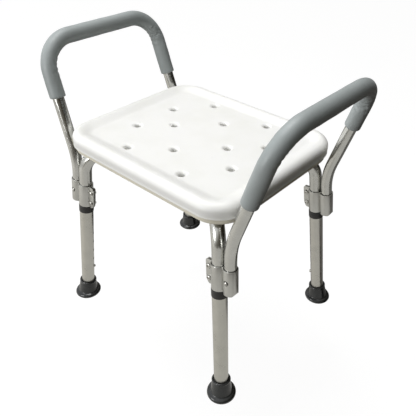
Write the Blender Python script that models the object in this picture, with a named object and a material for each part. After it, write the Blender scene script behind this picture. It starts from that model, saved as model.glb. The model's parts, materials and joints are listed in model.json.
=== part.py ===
"""Shower stool: blow-moulded seat on two crossed leg tubes, with two padded arms
and four telescoping legs. Metres, +Z up, the front faces -Y, the floor is z = 0."""

import math

import bmesh
import bpy
from mathutils import Matrix, Vector
from mathutils.geometry import tessellate_polygon

# --- overall size -----------------------------------------------------------
SEAT_HALF_X = 0.2098
SEAT_HALF_Y = 0.1738
SEAT_TOP = 0.437  # crest of the seat's rim above the floor
FOOT_X = SEAT_HALF_X + 0.0057  # foot centres on the floor
FOOT_Y = SEAT_HALF_Y + 0.0037
CONVERGE = 0.46  # share of its spread that a leg loses per metre of height
FIT_GAP = 0.0003  # between pieces that touch
SLIDE_GAP = 0.0005  # round a frame tube inside its lower leg

# --- seat ---------------------------------------------------------------
SEAT_THICK = 0.039
SEAT_BOTTOM = SEAT_TOP - SEAT_THICK
SEAT_CORNER_R = 0.058
SEAT_DISH = 0.0065
SEAT_SKIN = 0.003
DISH_INSET = 0.042
PARTING = 0.0125  # height of the parting line above the seat's bottom
DRAIN_R = 0.006
DRAIN_SHARES = (  # drain holes, as shares of the seat's half sizes
    (-0.336, -0.699), (0.336, -0.699), (0.0, -0.405), (-0.5887, -0.2906),
    (0.5887, -0.2906), (-0.336, 0.0), (0.336, 0.0), (-0.5887, 0.2906),
    (0.5887, 0.2906), (0.0, 0.405), (-0.336, 0.699), (0.336, 0.699),
)
DRAINS = tuple((x * SEAT_HALF_X, y * SEAT_HALF_Y) for x, y in DRAIN_SHARES)
DRAIN_PROFILE = (  # radius, height over the dish floor, with the funnel's mouth first
    (0.0125, 0.0200),
    (0.0118, 0.0009),
    (0.0094, -0.0007),
    (0.0074, -0.0024),
    (DRAIN_R, -0.0064),
    (DRAIN_R, -0.0600),
)
VENT_R = 0.004
VENT_AT = (0.0, 0.69 * SEAT_HALF_Y)  # moulding vent in the underside

# --- cross frame under the seat -------------------------------------------
TUBE_R = 0.0127  # leg frame tube, 1 in
TUBE_WALL = 0.0012
BEND_R = 0.045
DIP_BEND_R = 0.030
SCREW_REACH = 0.150  # seat screws, from the stool's centre along each tube
SCREW_R = 0.0024
BOLT_R = 0.0030
BOLT_IN_SEAT = 0.0120
BOSS_R = 0.0075
DIP_TOP = 0.075  # where the lower tube starts to dip under the upper one
DIP_FLOOR = 0.030

# --- arms ---------------------------------------------------------------
ARM_R = 0.0111  # arm tube, 7/8 in
ARM_WALL = 0.0012
ARM_BEND_R = 0.150
ARM_TOP_X = SEAT_HALF_X + 0.0666
ARM_TOP_Y = SEAT_HALF_Y - 0.0369
ARM_TOP_Z = SEAT_TOP + 0.1450
ARM_CORNER_R = 0.062
GRIP_R = ARM_R + 0.0042
GRIP_LENGTH = 0.464
GRIP_SLIDE = 0.014  # each grip sits this far off the middle of its bar
GRIP_EDGE = 0.0028

# --- brackets -------------------------------------------------------------
BRACKET_BOTTOM = SEAT_BOTTOM - 0.1330  # all heights from here on are measured up the leg
BRACKET_HEIGHT = 0.0514
LEG_SOCKET_R = TUBE_R + 0.0022
ARM_SOCKET_R = ARM_R + 0.0023
ARM_OFFSET = LEG_SOCKET_R + ARM_SOCKET_R - 0.0025  # arm socket axis from leg axis
ARM_LOW_END = BRACKET_BOTTOM + 0.0040
ARM_BEND_S = BRACKET_BOTTOM + 0.0950
EAR_REACH = LEG_SOCKET_R + 0.0129
EAR_THICK = 0.0022
EAR_GAP = 0.0024
EAR_TAPER = (0.0080, 0.0190)  # width and height cut off the lower corner
EAR_TOP_ROUND = 0.0040
SOCKET_TAPER = (0.0050, 0.0100)
CLAMP_AT = -(LEG_SOCKET_R + 0.0063)  # clamp screws, from the leg axis
CLAMP_HEIGHTS = (0.0125, 0.0379)
CLAMP_R = 0.0023
CLAMP_HEAD_R = 0.0043
CLAMP_HEAD = 0.0028
NUT_R = 0.0045
NUT_THICK = 0.0034
ARM_BUTTON_UP = 0.0272  # arm snap button above the bracket's lower end

# --- lower legs -------------------------------------------------------------
LEG_WALL = 0.0011
LEG_R = TUBE_R + SLIDE_GAP + LEG_WALL  # lower leg tube, 1 1/8 in
COLLAR_R = LEG_R + 0.0010
COLLAR_LIP = 0.0037  # part of the collar that stands above the leg tube
LEG_TOP = BRACKET_BOTTOM - COLLAR_LIP - 0.0005
COLLAR_BOTTOM = LEG_TOP - 0.0128
HOLE_PITCH = 0.0254
HOLE_COUNT = 7
FIRST_HOLE = LEG_TOP - 0.0233 - (HOLE_COUNT - 1) * HOLE_PITCH  # the hole the button sits in
TUBE_END = FIRST_HOLE - 0.0231  # lower end of the frame tube inside the lower leg
BUTTON_HOLE_R = 0.0039
BUTTON_R = BUTTON_HOLE_R - 0.0005
LEG_BUTTON_TIP = LEG_R + 0.0034  # how far a button's dome reaches from its tube's axis
ARM_BUTTON_TIP = ARM_SOCKET_R + 0.0022
LEG_STRIP_R = TUBE_R - 0.0025  # outer face of a clip spring's leaf, from its tube's axis
ARM_STRIP_R = ARM_R - 0.0025

# --- feet ---------------------------------------------------------------
FOOT_BORE_FLOOR = 0.0085
FOOT_PROFILE = (  # radius beyond the leg's, height, share of the leg's slant
    (0.0119, 0.0000, 0.0),
    (0.0145, 0.0012, 0.0),
    (0.0149, 0.0038, 0.0),
    (0.0135, 0.0072, 0.0),
    (0.0102, 0.0098, 0.0),
    (0.0079, 0.0108, 0.1),
    (0.0069, 0.0180, 0.4),
    (0.0056, 0.0270, 0.8),
    (0.0041, 0.0362, 1.0),
    (0.0047, 0.0376, 1.0),
    (0.0046, 0.0404, 1.0),
    (0.0033, 0.0418, 1.0),
    (0.0017, 0.0416, 1.0),
)

TUBE_SIDES = 16
ROUND_SIDES = 18
BEND_STEP = math.radians(16)

CORNERS = {
    "front_left": (-1, -1),
    "front_right": (1, -1),
    "back_left": (-1, 1),
    "back_right": (1, 1),
}
SIDES = {"left": -1, "right": 1}

MATERIALS = {  # base colour, metallic, roughness
    "seat_plastic": ((0.88, 0.89, 0.88), 0.0, 0.45),
    "leg_aluminium": ((0.66, 0.66, 0.62), 0.9, 0.38),
    "frame_aluminium": ((0.68, 0.68, 0.66), 0.95, 0.26),
    "bracket_aluminium": ((0.62, 0.62, 0.60), 0.9, 0.42),
    "foam": ((0.33, 0.35, 0.36), 0.0, 0.75),
    "black_plastic": ((0.03, 0.03, 0.03), 0.0, 0.45),
    "foot_rubber": ((0.045, 0.047, 0.048), 0.0, 0.35),
    "screw_steel": ((0.72, 0.72, 0.72), 1.0, 0.22),
}


# --- helpers --------------------------------------------------------------
def clear_scene():
    for obj in list(bpy.data.objects):
        bpy.data.objects.remove(obj, do_unlink=True)


def make_materials():
    made = {}
    for name, (colour, metallic, roughness) in MATERIALS.items():
        material = bpy.data.materials.new(name)
        material.use_nodes = True
        shader = material.node_tree.nodes["Principled BSDF"]
        shader.inputs["Base Color"].default_value = (*colour, 1.0)
        shader.inputs["Metallic"].default_value = metallic
        shader.inputs["Roughness"].default_value = roughness
        material.diffuse_color = (*colour, 1.0)
        made[name] = material
    return made


def frame_at(origin, x_dir, z_dir):
    """Placement whose Z is z_dir and whose X is x_dir made square to it."""
    z = z_dir.normalized()
    x = (x_dir - z * x_dir.dot(z)).normalized()
    y = z.cross(x)
    rows = [(x[i], y[i], z[i], origin[i]) for i in range(3)]
    return Matrix((*rows, (0, 0, 0, 1)))


def loft(rings, wrap=False):
    """Vertices and faces of rings joined in order: closed on itself, or capped at both ends."""
    n = len(rings[0])
    verts = [v for ring in rings for v in ring]
    pairs = list(zip(range(len(rings) - 1), range(1, len(rings))))
    if wrap:
        pairs.append((len(rings) - 1, 0))
    faces = []
    for a, b in pairs:
        for i in range(n):
            j = (i + 1) % n
            faces.append((a * n + i, a * n + j, b * n + j, b * n + i))
    if not wrap:
        faces.append(tuple(range(n)))
        faces.append(tuple((len(rings) - 1) * n + i for i in range(n)))
    return verts, faces


def merged(*shapes):
    verts, faces = [], []
    for some_verts, some_faces in shapes:
        start = len(verts)
        verts += some_verts
        faces += [tuple(start + i for i in face) for face in some_faces]
    return verts, faces


def circle(radius, height=0.0, sides=ROUND_SIDES, centre=(0, 0)):
    angles = [2 * math.pi * (i + 0.5) / sides for i in range(sides)]
    return [
        Vector((centre[0] + radius * math.cos(a), centre[1] + radius * math.sin(a), height))
        for a in angles
    ]


def bore_radius(shaft, gap=FIT_GAP, sides=ROUND_SIDES):
    """Radius of a faceted hole whose flats keep the gap to a shaft of this radius."""
    return (shaft + gap) / math.cos(math.pi / sides)


def lathe(profile, wrap=False, sides=ROUND_SIDES, centre=(0, 0)):
    return loft([circle(r, z, sides, centre) for r, z in profile], wrap)


def pin_along(placement, shape):
    verts, faces = shape
    return [placement @ v for v in verts], faces


def prism(loops, low, high):
    """A flat outline, with any holes, raised from low to high."""
    flat = [[Vector((x, y, 0)) for x, y in loop] for loop in loops]
    points = [p for loop in flat for p in loop]
    verts = [Vector((p.x, p.y, z)) for z in (low, high) for p in points]
    count = len(points)
    faces = []
    for a, b, c in tessellate_polygon(flat):
        faces += [(a, b, c), (count + a, count + b, count + c)]
    start = 0
    for loop in loops:
        for i in range(len(loop)):
            j = start + (i + 1) % len(loop)
            faces.append((start + i, j, count + j, count + start + i))
        start += len(loop)
    return verts, faces


def make_object(name, shape, material=None, placement=None, parent=None):
    verts, faces = shape
    mesh = bpy.data.meshes.new(name)
    mesh.from_pydata([tuple(v) for v in verts], [], faces)
    work = bmesh.new()
    work.from_mesh(mesh)
    bmesh.ops.recalc_face_normals(work, faces=work.faces)
    work.to_mesh(mesh)
    work.free()
    obj = bpy.data.objects.new(name, mesh)
    bpy.context.scene.collection.objects.link(obj)
    obj.matrix_world = placement or Matrix.Identity(4)
    if material:
        mesh.materials.append(MADE[material])
    if parent:
        obj.parent = parent
        obj.matrix_parent_inverse = parent.matrix_world.inverted()
    return obj


def cut(target, cutter_name, shape, placement=None):
    """Takes a helper shape out of the target."""
    cutter = make_object(cutter_name, shape, placement=placement)
    cutter.hide_render = True
    cutter.display_type = "WIRE"
    modifier = target.modifiers.new(cutter_name, "BOOLEAN")
    modifier.operation = "DIFFERENCE"
    modifier.solver = "EXACT"
    modifier.object = cutter
    return cutter


# --- paths ------------------------------------------------------------------
def rounded_path(corners, radii):
    """(distance, point, tangent) along a polyline whose inner corners are rounded."""
    stations = [(corners[0], (corners[1] - corners[0]).normalized())]
    for before, corner, after, radius in zip(corners, corners[1:], corners[2:], radii):
        come = (corner - before).normalized()
        go = (after - corner).normalized()
        turn = come.angle(go)
        reach = radius * math.tan(turn / 2)
        centre = corner - come * reach + (go - come * go.dot(come)).normalized() * radius
        start = corner - come * reach - centre
        steps = max(1, math.ceil(turn / BEND_STEP - 1e-6))
        for i in range(steps + 1):
            angle = turn * i / steps
            point = centre + start * math.cos(angle) + come * radius * math.sin(angle)
            tangent = come * math.cos(angle) - start / radius * math.sin(angle)
            stations.append((point, tangent.normalized()))
    stations.append((corners[-1], (corners[-1] - corners[-2]).normalized()))
    path, distance = [], 0.0
    for i, (point, tangent) in enumerate(stations):
        if i:
            distance += (point - stations[i - 1][0]).length
        path.append((distance, point, tangent))
    return path


def place_on(path, distance):
    """Point and tangent at a distance along a path."""
    for (d0, p0, t0), (d1, p1, t1) in zip(path, path[1:]):
        if distance <= d1 + 1e-9:
            share = (distance - d0) / (d1 - d0)
            return p0.lerp(p1, share), t0.lerp(t1, share).normalized()
    return path[-1][1], path[-1][2]


def sweep_rings(places, radii, sides):
    """One ring per place, turned as little as possible from one to the next."""
    tangent = places[0][1]
    normal = tangent.orthogonal().normalized()
    rings = []
    for (point, heading), radius in zip(places, radii):
        normal = tangent.rotation_difference(heading) @ normal
        tangent = heading
        side = tangent.cross(normal)
        rings.append([
            point + (normal * math.cos(a) + side * math.sin(a)) * radius
            for a in (2 * math.pi * i / sides for i in range(sides))
        ])
    return rings


def hollow_tube(path, outer, inner, sides=TUBE_SIDES):
    places = [(point, tangent) for _, point, tangent in path]
    outside = sweep_rings(places, [outer] * len(places), sides)
    inside = sweep_rings(places, [inner] * len(places), sides)
    return loft(outside + inside[::-1], wrap=True)


# --- leg geometry -------------------------------------------------------------
def leg_up(sx, sy):
    return Vector((-sx * CONVERGE * FOOT_X, -sy * CONVERGE * FOOT_Y, 1.0)).normalized()


def leg_point(sx, sy, along):
    """A point on the leg's axis, this far up it from the floor."""
    return Vector((sx * FOOT_X, sy * FOOT_Y, 0.0)) + leg_up(sx, sy) * along


def inward(sx, sy):
    return Vector((-sx * FOOT_X, -sy * FOOT_Y, 0.0)).normalized()


def leg_frame(sx, sy, along=0.0):
    """Placement on the leg's axis: Z up the leg, X towards the stool's middle."""
    return frame_at(leg_point(sx, sy, along), inward(sx, sy), leg_up(sx, sy))


def bracket_frame(sx, sy, along=BRACKET_BOTTOM):
    """Placement on the leg's axis: Z up the leg, X outboard to the arm's socket."""
    return frame_at(leg_point(sx, sy, along), Vector((sx, 0, 0)), leg_up(sx, sy))


def turned(direction):
    """Placement whose Z points along a direction in the plane across the leg."""
    return frame_at(Vector((0, 0, 0)), Vector((0, 0, 1)), Vector(direction))


def button_shape(tip, strip_radius, strip_width, strip_length):
    """Snap button along +Z from a tube's axis, on the leaf of its clip spring."""
    base = strip_radius - 0.0004
    dome = tip - 0.0016
    pin = lathe(
        [(BUTTON_R, base), (BUTTON_R, dome), (BUTTON_R * 0.8, dome + 0.0010), (BUTTON_R * 0.4, tip)],
        sides=12,
    )
    half_w, half_l, thick = strip_width / 2, strip_length / 2, 0.0008
    outline = [(-half_l, -half_w), (half_l, -half_w), (half_l, half_w), (-half_l, half_w)]
    leaf = prism([outline], strip_radius - thick, strip_radius)
    return pin, leaf


def make_button(name, placement, direction, tip, strip_radius, strip_width, strip_length):
    pin, leaf = button_shape(tip, strip_radius, strip_width, strip_length)
    where = placement @ turned(direction)
    button = make_object(name, leaf, "screw_steel", where)
    helper = make_object(name + "_pin", pin, placement=where)
    helper.hide_render = True
    helper.display_type = "WIRE"
    joined = button.modifiers.new("pin", "BOOLEAN")
    joined.operation = "UNION"
    joined.solver = "EXACT"
    joined.object = helper
    return button


def make_lower_leg(corner, sx, sy):
    """Outer leg tube with its row of holes, its collar and its foot."""
    place = leg_frame(sx, sy)
    inner = LEG_R - LEG_WALL
    tube = loft(
        [circle(LEG_R, z) for z in (FOOT_BORE_FLOOR + FIT_GAP, LEG_TOP)]
        + [circle(inner, z) for z in (LEG_TOP, FOOT_BORE_FLOOR + FIT_GAP)],
        wrap=True,
    )
    leg = make_object(f"lower_leg_{corner}", tube, "leg_aluminium", place)
    hole = lathe([(BUTTON_HOLE_R, 0.006), (BUTTON_HOLE_R, 0.020)], sides=10)
    holes = [
        pin_along(Matrix.Translation((0, 0, FIRST_HOLE + i * HOLE_PITCH)) @ turned((1, 0, 0)), hole)
        for i in range(HOLE_COUNT)
    ]
    cut(leg, f"leg_holes_{corner}", merged(*holes), place)

    over = bore_radius(LEG_R)
    lip = bore_radius(TUBE_R)
    shelf = LEG_TOP + FIT_GAP
    top = LEG_TOP + COLLAR_LIP
    ring = lathe(
        [
            (COLLAR_R, COLLAR_BOTTOM), (COLLAR_R, top - 0.0006), (COLLAR_R - 0.0006, top),
            (lip, top), (lip, shelf), (over, shelf), (over, COLLAR_BOTTOM),
        ],
        wrap=True,
    )
    make_object(f"leg_collar_{corner}", ring, "black_plastic", place, leg)
    make_object(f"foot_{corner}", foot_shape(sx, sy), "foot_rubber", place, leg)
    return leg


def foot_shape(sx, sy):
    """Flared tip: its flange lies flat on the floor and its collar follows the leg."""
    to_leg = leg_frame(sx, sy).inverted()
    rings = []
    for extra, height, slant in FOOT_PROFILE:
        normal = Vector((0, 0, 1)).lerp(leg_up(sx, sy), slant)
        base = frame_at(leg_point(sx, sy, height), inward(sx, sy), normal)
        rings.append([to_leg @ base @ v for v in circle(LEG_R + extra, sides=TUBE_SIDES)])
    bore = bore_radius(LEG_R, sides=TUBE_SIDES)
    rings.append(circle(bore, FOOT_PROFILE[-1][1] - 0.0012, TUBE_SIDES))
    rings.append(circle(bore, FOOT_BORE_FLOOR, TUBE_SIDES))
    return loft(rings)


# --- cross frame ------------------------------------------------------------
RUN_Z = SEAT_BOTTOM - FIT_GAP - TUBE_R
DIP_Z = RUN_Z - 2 * TUBE_R - FIT_GAP


def frame_path(sx, sy, dips):
    """Centre line of one leg tube, from one leg up, under the seat and down the other."""
    def at_height(side, z):
        up = leg_up(side * sx, side * sy)
        return leg_point(side * sx, side * sy, z / up.z)

    ends = [leg_point(side * sx, side * sy, TUBE_END) for side in (1, -1)]
    shoulders = [at_height(side, RUN_Z) for side in (1, -1)]
    middle, radii = [], []
    if dips:
        out = -inward(sx, sy)
        for reach, z in ((DIP_TOP, RUN_Z), (DIP_FLOOR, DIP_Z), (-DIP_FLOOR, DIP_Z), (-DIP_TOP, RUN_Z)):
            middle.append(out * reach + Vector((0, 0, z)))
            radii.append(DIP_BEND_R)
    corners = [ends[0], shoulders[0], *middle, shoulders[1], ends[1]]
    return rounded_path(corners, [BEND_R, *radii, BEND_R])


def make_cross_tube(name, sx, sy, dips):
    tube = make_object(
        name, hollow_tube(frame_path(sx, sy, dips), TUBE_R, TUBE_R - TUBE_WALL), "frame_aluminium"
    )
    out = -inward(sx, sy)
    holes = []
    for side in (1, -1):
        spot = out * (side * SCREW_REACH)
        holes.append(lathe([(screw_hole(SCREW_R), RUN_Z - 0.02), (screw_hole(SCREW_R), RUN_Z + 0.02)],
                           sides=10, centre=(spot.x, spot.y)))
        bore = lathe([(BUTTON_HOLE_R, 0.006), (BUTTON_HOLE_R, 0.018)], sides=10)
        place = leg_frame(side * sx, side * sy, FIRST_HOLE) @ turned((1, 0, 0))
        holes.append(pin_along(place, bore))
    middle = DIP_Z if dips else RUN_Z
    radius = screw_hole(BOLT_R)
    holes.append(lathe([(radius, middle - 0.02), (radius, middle + 0.02)], sides=12))
    cut(tube, name + "_holes", merged(*holes))
    return tube


def screw_hole(radius):
    return bore_radius(radius, sides=10)


def headed_pin(shank_r, length, head_r, head_h, sides=10):
    """Screw along +Z: the head's underside is at 0 and the shank runs up from it."""
    return lathe([
        (head_r * 0.62, -head_h), (head_r * 0.92, -head_h * 0.66), (head_r, -head_h * 0.2),
        (head_r, 0.0), (shank_r, 0.0), (shank_r, length),
    ], sides=sides)


def make_seat_screws():
    for corner, (sx, sy) in CORNERS.items():
        spot = -inward(sx, sy) * SCREW_REACH
        under = RUN_Z - TUBE_R - FIT_GAP
        length = SEAT_BOTTOM + BOLT_IN_SEAT - under
        shape = headed_pin(SCREW_R, length, 0.0048, 0.0030)
        place = Matrix.Translation((spot.x, spot.y, under))
        make_object(f"seat_screw_{corner}", shape, "screw_steel", place)
    under = DIP_Z - TUBE_R - FIT_GAP
    length = SEAT_BOTTOM + BOLT_IN_SEAT - under
    shape = headed_pin(BOLT_R, length, 0.0065, 0.0040, 12)
    make_object("centre_bolt", shape, "screw_steel", Matrix.Translation((0, 0, under)))


# --- seat -------------------------------------------------------------------
def seat_ring(inset, height):
    """Rounded rectangle, set in from the seat's widest outline."""
    half_x, half_y = SEAT_HALF_X - inset, SEAT_HALF_Y - inset
    radius = max(SEAT_CORNER_R - inset, 0.012)
    steps = 6
    ring = []
    for quarter, (sx, sy) in enumerate(((1, 1), (-1, 1), (-1, -1), (1, -1))):
        for i in range(steps + 1):
            angle = math.pi / 2 * (quarter + i / steps)
            x = sx * (half_x - radius) + radius * math.cos(angle)
            y = sy * (half_y - radius) + radius * math.sin(angle)
            ring.append(Vector((x, y, height)))
    return ring


def seat_profile():
    """(inset, height) up the seat's outside, from its underside to the dish's floor."""
    low, top = SEAT_BOTTOM, SEAT_TOP
    part = low + PARTING
    return [
        (0.0120, low), (0.0068, low + 0.0009), (0.0048, low + 0.0036), (0.0036, part - 0.0008),
        (0.0024, part - 0.0003), (0.0024, part + 0.0009), (0.0014, part + 0.0040),
        (0.0003, part + 0.0090), (0.0004, top - 0.0125), (0.0020, top - 0.0076),
        (0.0048, top - 0.0036), (0.0088, top - 0.0010), (0.0135, top), (0.0190, top - 0.0006),
        (0.0270, top - 0.0030), (0.0350, top - 0.0054), (DISH_INSET, top - SEAT_DISH),
    ]


def cavity_profile():
    low, top = SEAT_BOTTOM + SEAT_SKIN, SEAT_TOP - SEAT_SKIN
    return [
        (0.0130, low), (0.0082, low + 0.0030), (0.0044, low + 0.0180), (0.0044, top - 0.0095),
        (0.0090, top - 0.0024), (0.0150, top - 0.0008), (0.0280, top - 0.0036),
        (DISH_INSET, top - SEAT_DISH),
    ]


def seat_posts():
    """Solid columns left in the hollow seat round its drain holes and screw bosses."""
    low, high = SEAT_BOTTOM - 0.010, SEAT_TOP + 0.010
    posts = [
        lathe([(DRAIN_R + 0.0032, low), (DRAIN_R + 0.0032, high)], sides=12, centre=spot)
        for spot in DRAINS
    ]
    bosses = [-inward(sx, sy) * SCREW_REACH for sx, sy in CORNERS.values()]
    bosses.append(Vector((0, 0, 0)))
    posts += [
        lathe([(BOSS_R, low), (BOSS_R, high)], sides=10, centre=(spot.x, spot.y))
        for spot in bosses
    ]
    return merged(*posts)


def seat_holes():
    """Drain holes with their funnels, blind screw holes and the moulding vent."""
    dish = SEAT_TOP - SEAT_DISH
    holes = [
        lathe([(r, dish + z) for r, z in DRAIN_PROFILE], sides=12, centre=spot)
        for spot in DRAINS
    ]
    low, high = SEAT_BOTTOM - 0.010, SEAT_BOTTOM + BOLT_IN_SEAT + 0.001
    for sx, sy in CORNERS.values():
        spot = -inward(sx, sy) * SCREW_REACH
        radius = screw_hole(SCREW_R)
        holes.append(lathe([(radius, low), (radius, high)], sides=10, centre=(spot.x, spot.y)))
    radius = screw_hole(BOLT_R)
    holes.append(lathe([(radius, low), (radius, high)], sides=12))
    holes.append(lathe([(VENT_R, low), (VENT_R, low + 0.0180)], sides=10, centre=VENT_AT))
    return merged(*holes)


def make_seat():
    seat = make_object("seat", loft([seat_ring(*p) for p in seat_profile()]), "seat_plastic")
    hollow = cut(seat, "seat_hollow", loft([seat_ring(*p) for p in cavity_profile()]))
    cut(hollow, "seat_posts", seat_posts())
    cut(seat, "seat_holes", seat_holes())
    return seat


# --- brackets -----------------------------------------------------------------
def arc(centre_x, radius, start, end, steps):
    return [
        (centre_x + radius * math.cos(a), radius * math.sin(a))
        for a in (start + (end - start) * i / steps for i in range(steps + 1))
    ]


def bracket_outline():
    """Figure-eight clamp seen from above: a split leg socket with two ears, and the arm's socket."""
    outer, inner = LEG_SOCKET_R, bore_radius(TUBE_R, sides=24)
    gap, face = EAR_GAP / 2, EAR_GAP / 2 + EAR_THICK
    meet_x = (ARM_OFFSET**2 + outer**2 - ARM_SOCKET_R**2) / (2 * ARM_OFFSET)
    meet = math.acos(meet_x / outer)
    meet_y = outer * math.sin(meet)
    back = math.atan2(meet_y, meet_x - ARM_OFFSET)
    ear = math.pi - math.asin(face / outer)
    split = math.pi - math.asin(gap / inner)
    return (
        [(-EAR_REACH, -face)]
        + arc(0, outer, -ear, -meet, 7)
        + arc(ARM_OFFSET, ARM_SOCKET_R, -back, back, 14)[1:]
        + arc(0, outer, meet, ear, 7)[1:]
        + [(-EAR_REACH, face), (-EAR_REACH, gap)]
        + arc(0, inner, split, -split, 22)
        + [(-EAR_REACH, -gap)]
    )


def corner_cutter(corner_x, corner_z, width, height, sign_z):
    """Rounds a corner off: an XZ outline, run along Y, that takes an elliptical quarter away."""
    out = math.copysign(1.0, corner_x)
    points = [
        (corner_x - out * width * (1 - math.cos(a)), corner_z + sign_z * height * (1 - math.sin(a)))
        for a in (math.pi / 2 * i / 4 for i in range(5))
    ]
    beyond = corner_x + out * 0.006
    below = corner_z - sign_z * 0.006
    outline = [(beyond, points[0][1]), *points, (points[-1][0], below), (beyond, below)]
    verts, faces = prism([outline], -0.020, 0.020)
    return [Vector((v.x, v.z, v.y)) for v in verts], faces


def make_bracket(corner, sx, sy):
    place = bracket_frame(sx, sy)
    arm_bore = [tuple(v.xy) for v in circle(bore_radius(ARM_R), 0.0, centre=(ARM_OFFSET, 0))]
    body = prism([bracket_outline(), arm_bore], 0.0, BRACKET_HEIGHT)
    bracket = make_object(f"bracket_{corner}", body, "bracket_aluminium", place)
    across = lathe([(screw_hole(CLAMP_R), -0.02), (screw_hole(CLAMP_R), 0.02)], sides=10)
    cuts = [
        corner_cutter(-EAR_REACH, 0.0, *EAR_TAPER, 1),
        corner_cutter(-EAR_REACH, BRACKET_HEIGHT, EAR_TOP_ROUND, EAR_TOP_ROUND, -1),
        corner_cutter(ARM_OFFSET + ARM_SOCKET_R, 0.0, *SOCKET_TAPER, 1),
    ]
    for height in CLAMP_HEIGHTS:
        cuts.append(pin_along(Matrix.Translation((CLAMP_AT, 0, height)) @ turned((0, 1, 0)), across))
    opening = lathe([(BUTTON_HOLE_R, 0.006), (BUTTON_HOLE_R, 0.020)], sides=12)
    spot = Matrix.Translation((ARM_OFFSET, 0, ARM_BUTTON_UP)) @ turned((0, sx * sy, 0))
    cuts.append(pin_along(spot, opening))
    cut(bracket, f"bracket_cuts_{corner}", merged(*cuts), place)
    make_clamp_screws(corner, sx, place)
    return bracket


def make_clamp_screws(corner, sx, place):
    """Two screws through the ears, heads to the front, each with a nut behind."""
    ear_face = EAR_GAP / 2 + EAR_THICK + FIT_GAP
    length = 2 * ear_face + NUT_THICK + 0.0012
    bore = screw_hole(CLAMP_R)
    nut = loft(
        [circle(NUT_R, z, 6) for z in (0.0, NUT_THICK)] + [circle(bore, z, 6) for z in (NUT_THICK, 0.0)],
        wrap=True,
    )
    for level, height in zip(("lower", "upper"), CLAMP_HEIGHTS):
        across = Matrix.Translation((CLAMP_AT, 0, height)) @ turned((0, sx, 0))
        head = place @ across @ Matrix.Translation((0, 0, -ear_face))
        screw = headed_pin(CLAMP_R, length, CLAMP_HEAD_R, CLAMP_HEAD)
        make_object(f"clamp_screw_{corner}_{level}", screw, "screw_steel", head)
        tail = place @ across @ Matrix.Translation((0, 0, ear_face))
        make_object(f"clamp_nut_{corner}_{level}", nut, "screw_steel", tail)


# --- arms -----------------------------------------------------------------
def arm_path(sx):
    def socket_axis(sy, along):
        return bracket_frame(sx, sy, along) @ Vector((ARM_OFFSET, 0, 0))

    front = [socket_axis(-1, ARM_LOW_END), socket_axis(-1, ARM_BEND_S),
             Vector((sx * ARM_TOP_X, -ARM_TOP_Y, ARM_TOP_Z))]
    back = [Vector((sx * ARM_TOP_X, ARM_TOP_Y, ARM_TOP_Z)), socket_axis(1, ARM_BEND_S),
            socket_axis(1, ARM_LOW_END)]
    return rounded_path(front + back, [ARM_BEND_R, ARM_CORNER_R, ARM_CORNER_R, ARM_BEND_R])


def grip_shape(sx):
    """Foam sleeve over the bar and part of both posts, with softly rounded ends."""
    path = arm_path(sx)
    middle = path[-1][0] / 2 - sx * GRIP_SLIDE
    start, end = middle - GRIP_LENGTH / 2, middle + GRIP_LENGTH / 2
    edge = GRIP_EDGE
    stations = [(start, GRIP_R - edge), (start + edge * 0.3, GRIP_R - edge * 0.3), (start + edge, GRIP_R)]
    stations += [(d, GRIP_R) for d, _, _ in path if start + 2 * edge < d < end - 2 * edge]
    stations += [(end - edge, GRIP_R), (end - edge * 0.3, GRIP_R - edge * 0.3), (end, GRIP_R - edge)]
    bore = bore_radius(ARM_R, sides=TUBE_SIDES)
    inside = [s for i, s in enumerate(stations) if i not in (1, 2, len(stations) - 3, len(stations) - 2)]
    rings = sweep_rings([place_on(path, d) for d, _ in stations], [r for _, r in stations], TUBE_SIDES)
    hollow = sweep_rings([place_on(path, d) for d, _ in inside], [bore] * len(inside), TUBE_SIDES)
    return loft(rings + hollow[::-1], wrap=True)


def make_arm(side, sx):
    path = arm_path(sx)
    tube = make_object(f"arm_tube_{side}", hollow_tube(path, ARM_R, ARM_R - ARM_WALL), "frame_aluminium")
    opening = lathe([(BUTTON_HOLE_R, 0.004), (BUTTON_HOLE_R, 0.016)], sides=10)
    holes = []
    for sy in (-1, 1):
        spot = Matrix.Translation((ARM_OFFSET, 0, ARM_BUTTON_UP)) @ turned((0, sx * sy, 0))
        holes.append(pin_along(bracket_frame(sx, sy) @ spot, opening))
    cut(tube, f"arm_holes_{side}", merged(*holes))
    make_object(f"arm_grip_{side}", grip_shape(sx), "foam", parent=tube)


def make_buttons(corner, sx, sy):
    make_button(
        f"leg_button_{corner}", leg_frame(sx, sy, FIRST_HOLE), (1, 0, 0),
        LEG_BUTTON_TIP, LEG_STRIP_R, 0.0076, 0.030,
    )
    spot = bracket_frame(sx, sy) @ Matrix.Translation((ARM_OFFSET, 0, ARM_BUTTON_UP))
    make_button(
        f"arm_button_{corner}", spot, (0, sx * sy, 0),
        ARM_BUTTON_TIP, ARM_STRIP_R, 0.0064, 0.026,
    )


clear_scene()
MADE = make_materials()
make_seat()
make_cross_tube("cross_tube_straight", -1, -1, dips=False)
make_cross_tube("cross_tube_dipped", 1, -1, dips=True)
make_seat_screws()
for corner_name, (side_x, side_y) in CORNERS.items():
    make_lower_leg(corner_name, side_x, side_y)
    make_bracket(corner_name, side_x, side_y)
    make_buttons(corner_name, side_x, side_y)
for side_name, side_sign in SIDES.items():
    make_arm(side_name, side_sign)
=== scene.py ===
"""Looks of the shower stool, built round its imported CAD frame: every CAD node is
replaced by a smooth, detailed piece in the same place. Metres, +Z up, front at -Y."""

import json
import math

import bmesh
import bpy
from mathutils import Matrix, Vector, noise
from mathutils.geometry import tessellate_polygon


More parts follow.
